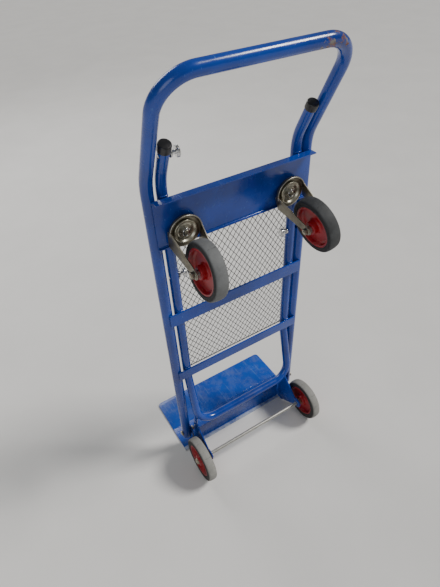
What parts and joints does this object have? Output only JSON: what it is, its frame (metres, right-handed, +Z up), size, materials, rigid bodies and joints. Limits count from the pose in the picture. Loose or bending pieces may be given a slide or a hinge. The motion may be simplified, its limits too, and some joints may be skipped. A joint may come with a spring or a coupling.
{
  "type": "convertible hand truck",
  "caption": "Tubular steel hand truck with a folding loop handle, flat toe plate, fixed wheels and swivel castors, which converts into a low platform truck.",
  "frame": {"origin": "bottom centre of the bounding box, on the ground that the toe plate and the fixed wheels stand on", "axes": "+X to the right across the truck seen from the operator's side, +Y towards the load side, where the toe plate points, +Z up along the upright frame"},
  "size_m": [0.4156, 0.3606, 1.1118],
  "materials": {
    "blue_paint": "glossy blue paint, scuffed, with some rust at worn spots",
    "mesh_steel": "dark, dull wire",
    "cap_plastic": "black satin plastic",
    "red_plastic": "glossy deep red",
    "wheel_rubber": "dusty grey tread on dark rubber",
    "castor_rubber": "dark rubber with a scuffed grey tread",
    "bush_plastic": "black plastic",
    "bright_steel": "bright steel",
    "zinc": "yellowish zinc plating",
    "chrome": "polished chrome"
  },
  "bodies": {
    "deck": {"axle": "bright_steel", "axle_bracket_left": "blue_paint", "axle_bracket_right": "blue_paint", "axle_cap_left": "zinc", "axle_cap_right": "zinc", "castor_cup_left": "zinc", "castor_cup_right": "zinc", "castor_plate": "blue_paint", "castor_race_left": "zinc", "castor_race_right": "zinc", "crossbar_lower": "blue_paint", "crossbar_upper": "blue_paint", "deck_mesh": "mesh_steel", "deck_tube": "blue_paint", "end_cap_left": "cap_plastic", "end_cap_right": "cap_plastic", "heel_angle": "blue_paint", "king_bolt_left": "zinc", "king_bolt_right": "zinc", "king_nut_left": "bright_steel", "king_nut_right": "bright_steel", "lock_housing_left_lower": "chrome", "lock_housing_left_upper": "chrome", "lock_housing_right_lower": "chrome", "pivot_bolt_left": "zinc", "pivot_bolt_right": "zinc", "pivot_lug_left": "blue_paint", "pivot_lug_right": "blue_paint", "pivot_nut_left": "zinc", "pivot_nut_right": "zinc", "toe_plate": "blue_paint", "wheel_spacer_left": "zinc", "wheel_spacer_right": "zinc"},
    "handle": {"handle_tube": "blue_paint"},
    "wheel_left": {"wheel_hub_left": "red_plastic", "wheel_tyre_left": "wheel_rubber", "wheel_bush_left": "bush_plastic"},
    "wheel_right": {"wheel_hub_right": "red_plastic", "wheel_tyre_right": "wheel_rubber", "wheel_bush_right": "bush_plastic"},
    "castor_swivel_left": {"castor_fork_left": "zinc", "castor_axle_left": "zinc", "castor_axle_nut_left": "zinc", "castor_bush_left": "bright_steel"},
    "castor_wheel_left": {"castor_hub_left": "red_plastic", "castor_tyre_left": "castor_rubber"},
    "castor_swivel_right": {"castor_fork_right": "zinc", "castor_axle_right": "zinc", "castor_axle_nut_right": "zinc", "castor_bush_right": "bright_steel"},
    "castor_wheel_right": {"castor_hub_right": "red_plastic", "castor_tyre_right": "castor_rubber"},
    "lock_left_lower": {"lock_pin_left_lower": "chrome"},
    "lock_left_upper": {"lock_pin_left_upper": "chrome"},
    "lock_right_lower": {"lock_pin_right_lower": "chrome"}
  },
  "joints": [
    {"name": "handle_fold", "type": "hinge", "parent": "deck", "child": "handle", "pos_m": [0, -0.00975, 0.086], "axis": [-1, 0, 0], "range_deg": [0, 90]},
    {"name": "wheel_spin_left", "type": "hinge", "parent": "deck", "child": "wheel_left", "pos_m": [-0.187, -0.10175, 0.065], "axis": [1, 0, 0], "continuous": true},
    {"name": "wheel_spin_right", "type": "hinge", "parent": "deck", "child": "wheel_right", "pos_m": [0.187, -0.10175, 0.065], "axis": [1, 0, 0], "continuous": true},
    {"name": "castor_swivel_left", "type": "hinge", "parent": "deck", "child": "castor_swivel_left", "pos_m": [-0.13, -0.02525, 0.7885], "axis": [0, -1, 0], "continuous": true},
    {"name": "castor_spin_left", "type": "hinge", "parent": "castor_swivel_left", "child": "castor_wheel_left", "pos_m": [-0.13314, -0.11775, 0.74361], "axis": [0.9976, 0, -0.0698], "continuous": true},
    {"name": "castor_swivel_right", "type": "hinge", "parent": "deck", "child": "castor_swivel_right", "pos_m": [0.13, -0.02525, 0.7885], "axis": [0, -1, 0], "continuous": true},
    {"name": "castor_spin_right", "type": "hinge", "parent": "castor_swivel_right", "child": "castor_wheel_right", "pos_m": [0.13936, -0.11775, 0.74448], "axis": [0.9781, 0, 0.2079], "continuous": true},
    {"name": "lock_slide_left_lower", "type": "slide", "parent": "deck", "child": "lock_left_lower", "axis": [-1, 0, 0], "range_m": [0, 0.008]},
    {"name": "lock_slide_left_upper", "type": "slide", "parent": "deck", "child": "lock_left_upper", "axis": [-1, 0, 0], "range_m": [0, 0.008]},
    {"name": "lock_slide_right_lower", "type": "slide", "parent": "deck", "child": "lock_right_lower", "axis": [1, 0, 0], "range_m": [0, 0.008]}
  ]
}
